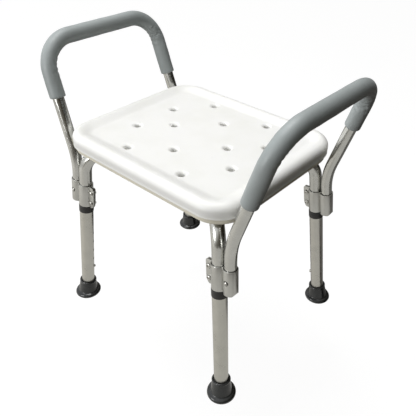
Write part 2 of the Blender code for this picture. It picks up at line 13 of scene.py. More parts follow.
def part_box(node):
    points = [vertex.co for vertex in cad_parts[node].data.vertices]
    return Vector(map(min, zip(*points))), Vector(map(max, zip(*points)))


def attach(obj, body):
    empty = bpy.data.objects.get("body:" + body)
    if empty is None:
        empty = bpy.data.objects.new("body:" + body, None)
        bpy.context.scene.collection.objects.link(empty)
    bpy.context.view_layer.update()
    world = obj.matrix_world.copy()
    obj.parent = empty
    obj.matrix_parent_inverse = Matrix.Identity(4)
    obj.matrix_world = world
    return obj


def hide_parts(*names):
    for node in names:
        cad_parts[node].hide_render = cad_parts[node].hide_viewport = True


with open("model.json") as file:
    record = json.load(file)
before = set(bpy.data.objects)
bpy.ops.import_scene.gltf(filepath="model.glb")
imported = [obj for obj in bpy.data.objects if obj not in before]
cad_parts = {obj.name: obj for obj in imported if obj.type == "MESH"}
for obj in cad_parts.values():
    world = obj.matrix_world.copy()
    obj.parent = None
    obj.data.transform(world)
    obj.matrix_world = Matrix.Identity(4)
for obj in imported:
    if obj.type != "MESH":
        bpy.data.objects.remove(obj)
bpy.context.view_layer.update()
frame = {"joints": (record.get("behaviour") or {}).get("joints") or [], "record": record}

RECORD = frame["record"]
CORNERS = {
    "front_left": (-1, -1),
    "front_right": (1, -1),
    "back_left": (-1, 1),
    "back_right": (1, 1),
}
SIDES = {"left": -1, "right": 1}
FOOT = {c: Vector(m["pos_m"]) for m in RECORD["mounts"] for c in CORNERS if m["name"] == f"foot_{c}"}
UP = {c: -Vector(j["axis"]) for j in frame["joints"] for c in CORNERS if j["name"] == f"leg_slide_{c}"}

# --- sizes: the CAD's, with finer ones that only the looks have ---------------------
LEG_R = 0.0143
LEG_WALL = 0.0011
TUBE_R = 0.0127
TUBE_WALL = 0.0012
TUBE_END = 0.062
HOLE_PITCH = 0.0254
HOLE_COUNT = 7
FIRST_HOLE = 0.0851
HOLE_R = 0.0039
LEG_TOP = 0.2608
COLLAR_BOTTOM = 0.2480
COLLAR_R = 0.0153
COLLAR_LIP = 0.0037
BUTTON_R = 0.0034
BUTTON_LIFT = 0.0034
BUTTON_DOME = 0.0024
FOOT_BORE_FLOOR = 0.0085
FIT_GAP = 0.0003
TUBE_EDGE = 0.0003  # chamfer round a cut end

SEAT_LOW, SEAT_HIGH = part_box("seat")
SEAT_HALF_X = SEAT_HIGH.x + 0.0003
SEAT_HALF_Y = SEAT_HIGH.y + 0.0003
SEAT_CORNER_R = 0.058
SEAT_DISH = 0.0065
DISH_INSET = 0.041
DISH_STEPS = 14
RIM_INSET = 0.0140  # crest of the rim, from the seat's outline
RIM_DROP = 0.0130
PARTING = 0.0125
DRAIN_R = 0.006
DRAIN_MOUTH_R = 0.0128
DRAINS = (
    (-0.0705, -0.1215), (0.0705, -0.1215), (0.0, -0.0704), (-0.1235, -0.0505),
    (0.1235, -0.0505), (-0.0705, 0.0), (0.0705, 0.0), (-0.1235, 0.0505),
    (0.1235, 0.0505), (0.0, 0.0704), (-0.0705, 0.1215), (0.0705, 0.1215),
)
VENT_R = 0.004
VENT_AT = (0.0, 0.120)
VENT_DEPTH = 0.0080

BEND_R = 0.045
DIP_BEND_R = 0.030
DIP_TOP = 0.075
DIP_FLOOR = 0.030
SCREW_REACH = 0.150
SCREW_R = 0.0024
SEAT_SCREW_HEAD = (0.0048, 0.0030)  # radius and height
SCREW_DEPTH = 0.0120  # reach of the fixings into the seat
BLIND_DEPTH = 0.0130
HEAD_PROFILE = (  # of a pan head: shares of its radius and of its height
    (0.20, 1.0), (0.50, 0.99), (0.68, 0.95), (0.82, 0.85),
    (0.93, 0.66), (0.99, 0.42), (1.0, 0.25), (1.0, 0.1),
)
BOLT_R = 0.0030
BOLT_HEAD = (0.0065, 0.0040)
RUN_Z = SEAT_LOW.z - FIT_GAP - TUBE_R
DIP_Z = RUN_Z - 2 * TUBE_R - FIT_GAP

ARM_R = 0.0111
ARM_WALL = 0.0012
ARM_OFFSET = 0.0258
ARM_LOW_END = 0.2690
ARM_BEND_S = 0.3600
ARM_BEND_R = 0.150
ARM_TOP = Vector((0.2764, 0.1369, 0.5820))
ARM_CORNER_R = 0.062
GRIP_R = 0.0153
GRIP_LENGTH = 0.464
GRIP_SLIDE = 0.014
GRIP_EDGE = 0.0030
GRIP_STEP = 0.0018
EDGE_SHARES = (0.0, 0.1, 0.25, 0.45, 0.7)  # stations along a rounded end of the grip
GRIP_LUMP = 0.0004
FOLD_DEPTH = 0.0026
FOLD_REACH = 0.026  # how far the folds spread along the grip
FOLD_DOWN = 0.022  # middle of the folds, from the middle of a bend towards the post's end
FOLD_PITCH = 0.0110

BRACKET_BOTTOM = 0.2650
BRACKET_HEIGHT = 0.0514
LEG_SOCKET_R = 0.0149
ARM_SOCKET_R = 0.0134
EAR_REACH = 0.0278
EAR_THICK = 0.0022
EAR_GAP = 0.0024
EAR_TAPER = (0.0080, 0.0190)
EAR_TOP_ROUND = 0.0040
SOCKET_TAPER = (0.0050, 0.0100)
BRACKET_EDGE = 0.0005
MOUTH_STEP = 0.0005  # how much wider the sockets are at their mouths
MOUTH_DEPTH = 0.0030
CLAMP_AT = -0.0212
CLAMP_HEIGHTS = (0.0125, 0.0379)
CLAMP_R = 0.0023
CLAMP_HEAD_R = 0.0048
CLAMP_HEAD = 0.0028
SCREW_SEAT = (0.0045, 0.0060, 0.0009)  # radii and depth of the groove round a clamp screw's head
NUT_R = 0.0045
NUT_THICK = 0.0034
ARM_BUTTON_UP = 0.0272
ARM_BUTTON_HOLE_R = 0.0050
ARM_BORE = ARM_R + FIT_GAP + 0.0002
LEG_BUTTON = (LEG_R + BUTTON_LIFT, 0.0102, 0.0076, 0.030)  # tip, then the strip's radius, width, length
ARM_BUTTON = (ARM_SOCKET_R + 0.0022, 0.0086, 0.0064, 0.026)

# --- camera, solved for the photograph's perspective --------------------------------
CAMERA_AT = Vector((0.6068, -0.6358, 0.8978))
CAMERA_TURN = 0.6859  # about Z, from looking along +Y
CAMERA_DOWN = 0.6321
CAMERA_ROLL = 0.0262
CAMERA_LENS = 43.80
SENSOR_WIDTH = 36.0
CAMERA_SHIFT = (-0.0588, 0.0030)

FLOOR_Z = -0.156  # under the feet of the legs at full length
FLOOR_HALF = 4.0
FLOOR_THICK = 0.02
FLOOR_PAINT = (0.16, 0.16, 0.16)
FLOOR_GLOW = 0.87
SKY_STRENGTH = 0.80
SKY_BRIGHT_SIDE = Vector((-0.5, -0.38, 0.78))
SKY_STOPS = (  # from the dark side of the room to the bright side
    (0.00, (0.012, 0.010, 0.007)),
    (0.30, (0.016, 0.013, 0.008)),
    (0.46, (0.055, 0.045, 0.028)),
    (0.60, (0.170, 0.155, 0.125)),
    (0.72, (0.600, 0.590, 0.560)),
    (0.84, (1.000, 1.005, 1.010)),
    (1.00, (1.120, 1.135, 1.160)),
)
BACKDROP = (1.23, 1.23, 1.23)  # what the camera sees of the room: near white at SKY_STRENGTH
LIGHT_TARGET = Vector((0.0, 0.0, 0.35))
LIGHTS = (  # name, place, size and power
    ("overhead", (-0.4, 0.0, 2.0), (1.0, 1.0), 15.5),
    ("front", (-0.4, -1.9, 0.8), (0.6, 0.8), 14.0),
)
# Cards lying on the floor: they show in reflections, but not to the camera or in diffuse light.
CARDS = (("front_card", -0.75, 11.0), ("back_card", 1.30, 3.0))  # name, place along Y, power
CARD_SIZE = (3.4, 1.9)
CARD_Z = FLOOR_Z + 0.003
CARD_COLOUR = (1.0, 0.99, 0.95)

FINE = 64  # sides of a round tube
BEND_STEP = math.radians(3)
OVERSHOOT = 0.01  # of a cutter, past the face it enters by
STREAK_SCALE = 420.0


# --- meshes -----------------------------------------------------------------------
def frame_at(origin, x_dir, z_dir):
    """Placement whose Z is z_dir and whose X is x_dir made square to it."""
    z = z_dir.normalized()
    x = (x_dir - z * x_dir.dot(z)).normalized()
    y = z.cross(x)
    rows = [(x[i], y[i], z[i], origin[i]) for i in range(3)]
    return Matrix((*rows, (0, 0, 0, 1)))


def loft(rings, wrap=False):
    """Vertices and faces of rings joined in order: closed on itself, or capped at both ends."""
    n = len(rings[0])
    verts = [v for ring in rings for v in ring]
    pairs = list(zip(range(len(rings) - 1), range(1, len(rings))))
    if wrap:
        pairs.append((len(rings) - 1, 0))
    faces = []
    for a, b in pairs:
        for i in range(n):
            j = (i + 1) % n
            faces.append((a * n + i, a * n + j, b * n + j, b * n + i))
    if not wrap:
        faces.append(tuple(range(n)))
        faces.append(tuple((len(rings) - 1) * n + i for i in range(n)))
    return verts, faces


def merged(*shapes):
    verts, faces = [], []
    for some_verts, some_faces in shapes:
        start = len(verts)
        verts += some_verts
        faces += [tuple(start + i for i in face) for face in some_faces]
    return verts, faces


def circle(radius, height=0.0, sides=FINE, centre=(0, 0)):
    angles = [2 * math.pi * (i + 0.5) / sides for i in range(sides)]
    return [
        Vector((centre[0] + radius * math.cos(a), centre[1] + radius * math.sin(a), height))
        for a in angles
    ]


def lathe(profile, wrap=False, sides=FINE, centre=(0, 0)):
    return loft([circle(r, z, sides, centre) for r, z in profile], wrap)


def drill(radius, low, high, sides=24, centre=(0, 0)):
    """A straight round cutter along Z, longer than the wall it goes through."""
    return lathe([(radius, low), (radius, high)], sides=sides, centre=centre)


def moved(placement, shape):
    verts, faces = shape
    return [placement @ v for v in verts], faces


def prism(loops, low, high):
    """A flat outline, with any holes, raised from low to high."""
    flat = [[Vector((x, y, 0)) for x, y in loop] for loop in loops]
    points = [p for loop in flat for p in loop]
    verts = [Vector((p.x, p.y, z)) for z in (low, high) for p in points]
    count = len(points)
    faces = []
    for a, b, c in tessellate_polygon(flat):
        faces += [(a, b, c), (count + a, count + b, count + c)]
    start = 0
    for loop in loops:
        for i in range(len(loop)):
            j = start + (i + 1) % len(loop)
            faces.append((start + i, j, count + j, count + start + i))
        start += len(loop)
    return verts, faces


def inset_loop(loop, distance):
    """A closed outline moved to its left, as seen along its own direction."""
    moved_loop = []
    for before, point, after in zip(loop[-1:] + loop[:-1], loop, loop[1:] + loop[:1]):
        come = (Vector(point) - Vector(before)).normalized()
        go = (Vector(after) - Vector(point)).normalized()
        left = Vector((-come.y - go.y, come.x + go.x)).normalized()
        reach = distance / max(0.4, left.dot(Vector((-come.y, come.x))))
        moved_loop.append((point[0] + left.x * reach, point[1] + left.y * reach))
    return moved_loop


def rounded_prism(loops, low, high, edge):
    """A prism whose top and bottom rims are rounded. Each loop has the solid on its left."""
    levels = []
    for i in range(4):
        a = math.pi / 2 * i / 3
        levels.append((low + edge * (1 - math.sin(a)), edge * (1 - math.cos(a))))
    levels = levels[::-1] + [(low + high - z, inset) for z, inset in levels]
    levels.sort()
    rings = [[inset_loop(loop, inset) for loop in loops] for _, inset in levels]
    count = sum(len(loop) for loop in loops)
    verts = [
        Vector((x, y, z)) for (z, _), ring in zip(levels, rings) for loop in ring for x, y in loop
    ]
    faces = []
    for a, b, c in tessellate_polygon([[Vector((x, y, 0)) for x, y in loop] for loop in rings[0]]):
        top = count * (len(levels) - 1)
        faces += [(a, b, c), (top + a, top + b, top + c)]
    for level in range(len(levels) - 1):
        start = level * count
        for loop in loops:
            for i in range(len(loop)):
                j = (i + 1) % len(loop)
                faces.append((start + i, start + j, start + count + j, start + count + i))
            start += len(loop)
    return verts, faces


def quarter(centre, radii, start, end, steps):
    """Points of an elliptical arc, angles in degrees."""
    for i in range(steps + 1):
        a = math.radians(start + (end - start) * i / steps)
        yield centre[0] + radii[0] * math.cos(a), centre[1] + radii[1] * math.sin(a)


def new_mesh(name, shape):
    verts, faces = shape
    mesh = bpy.data.meshes.new(name)
    mesh.from_pydata([tuple(v) for v in verts], [], faces)
    work = bmesh.new()
    work.from_mesh(mesh)
    bmesh.ops.recalc_face_normals(work, faces=work.faces)
    work.to_mesh(mesh)
    work.free()
    return mesh


def make_piece(name, shape, placement=None, cutters=(), smooth=35):
    """An object with its cuts applied and its sharp edges kept crisp."""
    obj = bpy.data.objects.new(name, new_mesh(name, shape))
    bpy.context.scene.collection.objects.link(obj)
    helpers = []
    for i, (operation, cutter_shape) in enumerate(cutters):
        helper_name = f"{name}_helper_{i}"
        helper = bpy.data.objects.new(helper_name, new_mesh(helper_name, cutter_shape))
        bpy.context.scene.collection.objects.link(helper)
        helpers.append(helper)
        step = obj.modifiers.new("cut", "BOOLEAN")
        step.operation = operation
        step.solver = "EXACT"
        step.object = helper
    apply_modifiers(obj)
    for helper in helpers:
        bpy.data.objects.remove(helper, do_unlink=True)
    obj.data.polygons.foreach_set("use_smooth", [True] * len(obj.data.polygons))
    obj.data.set_sharp_from_angle(angle=math.radians(smooth))
    obj.matrix_world = placement or Matrix.Identity(4)
    return obj


def apply_modifiers(obj):
    graph = bpy.context.evaluated_depsgraph_get()
    graph.update()
    made = bpy.data.meshes.new_from_object(obj.evaluated_get(graph))
    old = obj.data
    obj.modifiers.clear()
    obj.data = made
    bpy.data.meshes.remove(old)
    made.name = obj.name


def finish_piece(obj, body, node, material):
    obj.data.materials.clear()
    obj.data.materials.append(material)
    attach(obj, body)
    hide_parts(node)
    return obj


# --- paths ------------------------------------------------------------------------
def rounded_path(corners, radii):
    """(distance, point, tangent) along a polyline whose inner corners are rounded."""
    stations = [(corners[0], (corners[1] - corners[0]).normalized())]
    for before, corner, after, radius in zip(corners, corners[1:], corners[2:], radii):
        come = (corner - before).normalized()
        go = (after - corner).normalized()
        turn = come.angle(go)
        reach = radius * math.tan(turn / 2)
        centre = corner - come * reach + (go - come * go.dot(come)).normalized() * radius
        start = corner - come * reach - centre
        steps = max(1, math.ceil(turn / BEND_STEP - 1e-6))
        for i in range(steps + 1):
            angle = turn * i / steps
            point = centre + start * math.cos(angle) + come * radius * math.sin(angle)
            tangent = come * math.cos(angle) - start / radius * math.sin(angle)
            stations.append((point, tangent.normalized()))
    stations.append((corners[-1], (corners[-1] - corners[-2]).normalized()))
    path, distance = [], 0.0
    for i, (point, tangent) in enumerate(stations):
        if i:
            distance += (point - stations[i - 1][0]).length
        path.append((distance, point, tangent))
    return path


def place_on(path, distance):
    """Point and tangent at a distance along a path."""
    for (d0, p0, t0), (d1, p1, t1) in zip(path, path[1:]):
        if distance <= d1 + 1e-9:
            share = (distance - d0) / (d1 - d0)
            return p0.lerp(p1, share), t0.lerp(t1, share).normalized()
    return path[-1][1], path[-1][2]


def sweep_frames(places):
    """(point, normal, side) at each place, turned as little as possible from one to the next."""
    tangent = places[0][1]
    normal = tangent.orthogonal().normalized()
    frames = []
    for point, heading in places:
        normal = tangent.rotation_difference(heading) @ normal
        tangent = heading
        frames.append((point, normal, tangent.cross(normal)))
    return frames


def sweep_rings(places, radii):
    rings = []
    for (point, normal, side), radius in zip(sweep_frames(places), radii):
        rings.append([
            point + (normal * math.cos(a) + side * math.sin(a)) * radius
            for a in (2 * math.pi * i / FINE for i in range(FINE))
        ])
    return rings


def hollow_tube(path, outer, inner):
    """Tube with a small chamfer round each cut end."""
    places = [(point, tangent) for _, point, tangent in path]
    first, last = places[0], places[-1]
    ends = [(first[0] + first[1] * TUBE_EDGE, first[1]), (last[0] - last[1] * TUBE_EDGE, last[1])]
    route = [first, ends[0], *places[1:-1], ends[1], last]
    between = len(route) - 2
    outside = sweep_rings(route, [outer - TUBE_EDGE, *[outer] * between, outer - TUBE_EDGE])
    inside = sweep_rings(route, [inner + TUBE_EDGE, *[inner] * between, inner + TUBE_EDGE])
    return loft(outside + inside[::-1], wrap=True)


# --- leg geometry --------------------------------------------------------------------
def leg_point(corner, along):
    return FOOT[corner] + UP[corner] * along


def inward(corner):
    return Vector((-FOOT[corner].x, -FOOT[corner].y, 0.0)).normalized()


def leg_frame(corner, along=0.0):
    """Placement on the leg's axis: Z up the leg, X towards the stool's middle."""
    return frame_at(leg_point(corner, along), inward(corner), UP[corner])


def bracket_frame(corner, along=BRACKET_BOTTOM):
    """Placement on the leg's axis: Z up the leg, X outboard to the arm's socket."""
    return frame_at(leg_point(corner, along), Vector((CORNERS[corner][0], 0, 0)), UP[corner])


def turned(direction):
    """Placement whose Z points along a direction in the plane across the leg."""
    return frame_at(Vector((0, 0, 0)), Vector((0, 0, 1)), Vector(direction))


# --- materials -------------------------------------------------------------------------
class Nodes:
    """Short calls for building a node tree round a Principled shader."""

    def __init__(self, name, colour, metallic, roughness):
        self.material = bpy.data.materials.new(name)
        self.material.use_nodes = True
        self.material.diffuse_color = (*colour, 1.0)
        self.tree = self.material.node_tree
        self.shader = self.tree.nodes["Principled BSDF"]
        self.shader.inputs["Base Color"].default_value = (*colour, 1.0)
        self.shader.inputs["Metallic"].default_value = metallic
        self.shader.inputs["Roughness"].default_value = roughness
        self.place = self.tree.nodes.new("ShaderNodeTexCoord").outputs["Object"]

    def link(self, source, target):
        self.tree.links.new(source, target)

    def stretched(self, scale):
        """The object's own coordinates, scaled apart along each axis."""
        mapping = self.tree.nodes.new("ShaderNodeMapping")
        mapping.inputs["Scale"].default_value = scale
        self.link(self.place, mapping.inputs["Vector"])
        return mapping.outputs["Vector"]

    def noise(self, scale, detail=3.0, rough=0.55, place=None):
        node = self.tree.nodes.new("ShaderNodeTexNoise")
        node.inputs["Scale"].default_value = scale
        node.inputs["Detail"].default_value = detail
        node.inputs["Roughness"].default_value = rough
        self.link(place or self.place, node.inputs["Vector"])
        return node.outputs["Fac"]

    def height(self):
        """0 at the seat's underside and 1 at its top."""
        split = self.tree.nodes.new("ShaderNodeSeparateXYZ")
        self.link(self.place, split.inputs["Vector"])
        node = self.tree.nodes.new("ShaderNodeMapRange")
        node.inputs["From Min"].default_value = SEAT_LOW.z
        node.inputs["From Max"].default_value = SEAT_HIGH.z
        self.link(split.outputs["Z"], node.inputs["Value"])
        return node.outputs["Result"]

    def ramp(self, source, stops):
        """A colour ramp: stops are (position, grey value or colour)."""
        node = self.tree.nodes.new("ShaderNodeValToRGB")
        elements = node.color_ramp.elements
        while len(elements) < len(stops):
            elements.new(0.5)
        for element, (position, value) in zip(elements, stops):
            element.position = position
            element.color = (*value, 1.0) if isinstance(value, tuple) else (value, value, value, 1.0)
        self.link(source, node.inputs["Fac"])
        return node.outputs["Color"]

    def mixed(self, share, first, second, blend="MIX"):
        node = self.tree.nodes.new("ShaderNodeMix")
        node.data_type = "RGBA"
        node.blend_type = blend
        sockets = node.inputs[0], node.inputs[6], node.inputs[7]
        for value, socket in zip((share, first, second), sockets):
            if isinstance(value, float):
                socket.default_value = value
            elif isinstance(value, tuple):
                socket.default_value = (*value, 1.0)
            else:
                self.link(value, socket)
        return node.outputs[2]

    def bump(self, height, strength, distance, below=None):
        node = self.tree.nodes.new("ShaderNodeBump")
        node.inputs["Strength"].default_value = strength
        node.inputs["Distance"].default_value = distance
        self.link(height, node.inputs["Height"])
        if below:
            self.link(below, node.inputs["Normal"])
        return node.outputs["Normal"]

    def set(self, **sockets):
        names = {"colour": "Base Color", "roughness": "Roughness", "normal": "Normal"}
        for key, source in sockets.items():
            self.link(source, self.shader.inputs[names[key]])
        return self.material


def seat_plastic():
    n = Nodes("seat_plastic", (0.86, 0.86, 0.84), 0.0, 0.40)
    n.shader.inputs["Subsurface Weight"].default_value = 0.05
    n.shader.inputs["Subsurface Radius"].default_value = (0.005, 0.005, 0.004)
    n.shader.inputs["Specular IOR Level"].default_value = 0.45
    cloud = n.noise(14.0, 4.0)
    whites = [(0.30, (0.84, 0.84, 0.81)), (0.55, (0.87, 0.87, 0.85)), (0.8, (0.88, 0.88, 0.865))]
    colour = n.ramp(cloud, whites)
    # Painted shade: the seat is painted darker and warmer below its parting line, where its lower wall
    # turns in under the rim.
    height = n.ramp(n.height(), [(0.0, (0.94, 0.89, 0.76)), (0.30, (0.95, 0.91, 0.80)), (0.34, 1.0)])
    scuffs = n.ramp(n.noise(60.0, 6.0, 0.7), [(0.62, 1.0), (0.74, 0.95)])
    # The random whites, times the painted shade below the parting line, times the scuffs.
    tone_scuffs_and_painted_shade = n.mixed(1.0, n.mixed(1.0, colour, height, "MULTIPLY"), scuffs, "MULTIPLY")
    rough = n.ramp(n.noise(90.0, 3.0), [(0.3, 0.34), (0.7, 0.48)])
    grain = n.bump(n.noise(900.0, 3.0, 0.7), 0.25, 0.0005)
    waves = n.bump(n.noise(24.0, 2.0), 0.12, 0.0030, grain)
    return n.set(colour=tone_scuffs_and_painted_shade, roughness=rough, normal=waves)


def aluminium(name, tint, roughness, streaks=(1.0, 1.0, 1.0)):
    """Satin anodised tube: fine draw lines along it, cloudy roughness and dull smudges."""
    n = Nodes(name, tint, 0.95, roughness)
    lines = n.noise(STREAK_SCALE, 3.0, 0.6, n.stretched(streaks))
    cloud = n.noise(32.0, 4.0, 0.6)
    dark = tuple(v * 0.90 for v in tint)
    colour = n.mixed(n.ramp(cloud, [(0.35, 0.0), (0.65, 1.0)]), dark, tint)
    shade = n.ramp(lines, [(0.3, 0.965), (0.7, 1.0)])
    smudge = n.ramp(n.noise(75.0, 5.0, 0.7), [(0.60, 0.0), (0.72, 0.10)])
    clouded = n.ramp(cloud, [(0.3, roughness - 0.04), (0.7, roughness + 0.06)])
    rough = n.mixed(1.0, clouded, smudge, "ADD")
    shaded = n.mixed(1.0, colour, shade, "MULTIPLY")
    return n.set(colour=shaded, roughness=rough, normal=n.bump(lines, 0.01, 0.00001))


def foam():
    n = Nodes("grip_foam", (0.330, 0.362, 0.362), 0.0, 0.44)
    n.shader.inputs["Sheen Weight"].default_value = 0.12
    n.shader.inputs["Sheen Roughness"].default_value = 0.40
    n.shader.inputs["Specular IOR Level"].default_value = 0.65
    cloud = n.noise(26.0, 4.0)
    colour = n.ramp(cloud, [(0.3, (0.316, 0.349, 0.349)), (0.7, (0.344, 0.375, 0.376))])
    pores = n.ramp(n.noise(900.0, 4.0, 0.7), [(0.30, 0.90), (0.60, 1.0)])
    rough = n.ramp(n.noise(240.0, 3.0), [(0.3, 0.40), (0.7, 0.54)])
    skin = n.bump(n.noise(1100.0, 3.0, 0.65), 0.20, 0.0003)
    dents = n.bump(n.noise(70.0, 3.0), 0.15, 0.0016, skin)
    return n.set(colour=n.mixed(1.0, colour, pores, "MULTIPLY"), roughness=rough, normal=dents)


def black_plastic():
    n = Nodes("collar_plastic", (0.022, 0.022, 0.022), 0.0, 0.42)
    rough = n.ramp(n.noise(160.0, 4.0), [(0.3, 0.34), (0.7, 0.52)])
    colour = n.ramp(n.noise(80.0, 4.0), [(0.3, (0.018, 0.018, 0.018)), (0.8, (0.034, 0.034, 0.033))])
    return n.set(colour=colour, roughness=rough, normal=n.bump(n.noise(900.0, 2.0), 0.12, 0.0004))


def foot_rubber():
    n = Nodes("foot_rubber", (0.020, 0.022, 0.024), 0.0, 0.26)
    n.shader.inputs["Coat Weight"].default_value = 0.65
    n.shader.inputs["Coat Roughness"].default_value = 0.10
    n.shader.inputs["Specular IOR Level"].default_value = 0.30
    dust = n.ramp(n.noise(70.0, 5.0, 0.65), [(0.50, 0.0), (0.80, 1.0)])
    colour = n.mixed(dust, (0.017, 0.019, 0.020), (0.042, 0.044, 0.045))
    rough = n.ramp(n.noise(120.0, 4.0), [(0.3, 0.22), (0.7, 0.38)])
    return n.set(colour=colour, roughness=rough, normal=n.bump(n.noise(500.0, 3.0), 0.06, 0.0002))


def screw_steel():
    n = Nodes("screw_steel", (0.70, 0.69, 0.66), 1.0, 0.24)
    rough = n.ramp(n.noise(600.0, 4.0), [(0.3, 0.18), (0.7, 0.34)])
    colour = n.ramp(n.noise(300.0, 4.0), [(0.3, (0.58, 0.57, 0.54)), (0.7, (0.74, 0.73, 0.70))])
    return n.set(colour=colour, roughness=rough, normal=n.bump(n.noise(900.0, 3.0), 0.08, 0.0002))


# --- seat ---------------------------------------------------------------------------------
def seat_ring(inset, height, steps=20):
    """Rounded rectangle, set in from the seat's widest outline."""
    half_x, half_y = SEAT_HALF_X - inset, SEAT_HALF_Y - inset
    radius = max(SEAT_CORNER_R - inset, 0.012)
    ring = []
    for turn, (sx, sy) in enumerate(((1, 1), (-1, 1), (-1, -1), (1, -1))):
        for i in range(steps + 1):
            angle = math.pi / 2 * (turn + i / steps)
            x = sx * (half_x - radius) + radius * math.cos(angle)
            y = sy * (half_y - radius) + radius * math.sin(angle)
            ring.append(Vector((x, y, height)))
    return ring


def seat_profile():
    """(inset, height) up the seat's outside, from its underside to the dish's floor."""
    low, top = SEAT_LOW.z, SEAT_HIGH.z
    part = low + PARTING
    rows = [(0.0130, low)]
    rows += quarter((0.0088, low + 0.0045), (-0.0045, -0.0045), 90, 0, 8)
    rows += [(0.0036, part - 0.0030), (0.0033, part - 0.0016), (0.0042, part - 0.0011)]
    rows += [(0.0042, part - 0.0004), (0.0012, part), (0.0004, part + 0.0005)]
    rows += [(0.0003, part + 0.0013), (0.0010, part + 0.0032), (0.0008, part + 0.0055)]
    rows += [(0.0003, part + 0.0095)]
    rows += quarter((RIM_INSET, top - RIM_DROP), (-0.0137, RIM_DROP), 0, 90, 14)
    for i in range(1, DISH_STEPS + 1):
        share = i / DISH_STEPS
        inset = RIM_INSET + (DISH_INSET - RIM_INSET) * share
        rows.append((inset, top - SEAT_DISH * (1 - math.cos(math.pi * share)) / 2))
    return rows


def drain_cutter(spot):
    """A drain hole with a softly rounded mouth and a small flare under the seat."""
    floor = SEAT_HIGH.z - SEAT_DISH
    wide = DRAIN_MOUTH_R - DRAIN_R
    profile = [(DRAIN_MOUTH_R + 0.0004, floor + 0.012), (DRAIN_MOUTH_R + 0.0002, floor + 0.00004)]
    profile += quarter((DRAIN_MOUTH_R, floor - 0.0058), (-wide, 0.0058), 86, 0, 12)
    low = SEAT_LOW.z
    profile += [(DRAIN_R, low + 0.0012), (DRAIN_R + 0.0008, low + 0.0002)]
    profile.append((DRAIN_R + 0.0012, low - 0.004))
    return lathe(profile, sides=40, centre=spot)


def make_seat(material):
    shape = loft([seat_ring(*p) for p in seat_profile()])
    cutters = [("DIFFERENCE", merged(*[drain_cutter(spot) for spot in DRAINS]))]
    low = SEAT_LOW.z
    blind = []
    for corner in CORNERS:
        spot = -inward(corner) * SCREW_REACH
        blind.append(drill(SCREW_R + FIT_GAP, low - OVERSHOOT, low + BLIND_DEPTH, centre=(spot.x, spot.y)))
    blind.append(drill(BOLT_R + FIT_GAP, low - OVERSHOOT, low + BLIND_DEPTH))
    blind.append(drill(VENT_R, low - OVERSHOOT, low + VENT_DEPTH, centre=VENT_AT))
    cutters.append(("DIFFERENCE", merged(*blind)))
    seat = make_piece("seat_panel", shape, cutters=cutters, smooth=40)
    weighted_normals(seat)
    finish_piece(seat, "frame", "seat", material)


def weighted_normals(obj):
    """Large flat faces keep their own shading where rounds run into them."""
    step = obj.modifiers.new("normals", "WEIGHTED_NORMAL")
    step.weight = 100
    step.keep_sharp = True
    apply_modifiers(obj)


# --- cross tubes and their screws ---------------------------------------------------------
def cross_path(corner, opposite, dips):
    def at_height(name, z):
        return leg_point(name, z / UP[name].z)

    middle, radii = [], []
    if dips:
        out = -inward(corner)
        for reach, z in ((DIP_TOP, RUN_Z), (DIP_FLOOR, DIP_Z), (-DIP_FLOOR, DIP_Z), (-DIP_TOP, RUN_Z)):
            middle.append(out * reach + Vector((0, 0, z)))
            radii.append(DIP_BEND_R)
    corners = [
        leg_point(corner, TUBE_END), at_height(corner, RUN_Z), *middle,
        at_height(opposite, RUN_Z), leg_point(opposite, TUBE_END),
    ]
    return rounded_path(corners, [BEND_R, *radii, BEND_R])


def make_cross_tube(node, corner, opposite, dips, material):
    shape = hollow_tube(cross_path(corner, opposite, dips), TUBE_R, TUBE_R - TUBE_WALL)
    holes = []
    for name in (corner, opposite):
        holes.append(moved(leg_frame(name, FIRST_HOLE) @ turned((1, 0, 0)), drill(HOLE_R, 0.006, 0.018)))
        spot = -inward(name) * SCREW_REACH
        holes.append(drill(SCREW_R + FIT_GAP, RUN_Z - 0.02, RUN_Z + 0.02, centre=(spot.x, spot.y)))
    level = DIP_Z if dips else RUN_Z
    holes.append(drill(BOLT_R + FIT_GAP, level - 0.02, level + 0.02))
    tube = make_piece(node + "_round", shape, cutters=[("DIFFERENCE", merged(*holes))])
    finish_piece(tube, "frame", node, material)


def pan_head(shank_r, length, head_r, head_h):
    """Screw along +Z, domed head below z = 0, with a plain end to its shank."""
    profile = [(head_r * r, -head_h * z) for r, z in HEAD_PROFILE]
    profile += [(head_r - 0.0002, 0.0), (shank_r, 0.0)]
    profile += [(shank_r, length - 0.0005), (shank_r - 0.0005, length)]
    return lathe(profile, sides=40)


def cross_recess(head_r, head_h):
    """The cross-shaped driver recess of a pan head."""
    arm, half, deep = head_r * 0.60, head_r * 0.15, head_h * 0.62
    outline = [
        (arm, -half), (arm, half), (half, half), (half, arm), (-half, arm), (-half, half),
        (-arm, half), (-arm, -half), (-half, -half), (-half, -arm), (half, -arm), (half, -half),
    ]
    return prism([outline], -head_h - 0.001, -head_h + deep)


def make_screw(piece, node, placement, shank_r, length, head_r, head_h, material):
    screw = make_piece(
        piece, pan_head(shank_r, length, head_r, head_h), placement,
        [("DIFFERENCE", cross_recess(head_r, head_h))],
    )
    finish_piece(screw, "frame", node, material)


def make_seat_fixing(piece, node, at, run_z, shank_r, head, material):
    """A screw or bolt up through a cross tube into the underside of the seat."""
    under = run_z - TUBE_R - FIT_GAP
    length = SEAT_LOW.z + SCREW_DEPTH - under
    make_screw(piece, node, Matrix.Translation((*at, under)), shank_r, length, *head, material)


def make_seat_screws(material):
    for corner in CORNERS:
        spot = -inward(corner) * SCREW_REACH
        names = f"seat_fixing_{corner}", f"seat_screw_{corner}"
        make_seat_fixing(*names, (spot.x, spot.y), RUN_Z, SCREW_R, SEAT_SCREW_HEAD, material)
    make_seat_fixing("middle_fixing", "centre_bolt", (0, 0), DIP_Z, BOLT_R, BOLT_HEAD, material)


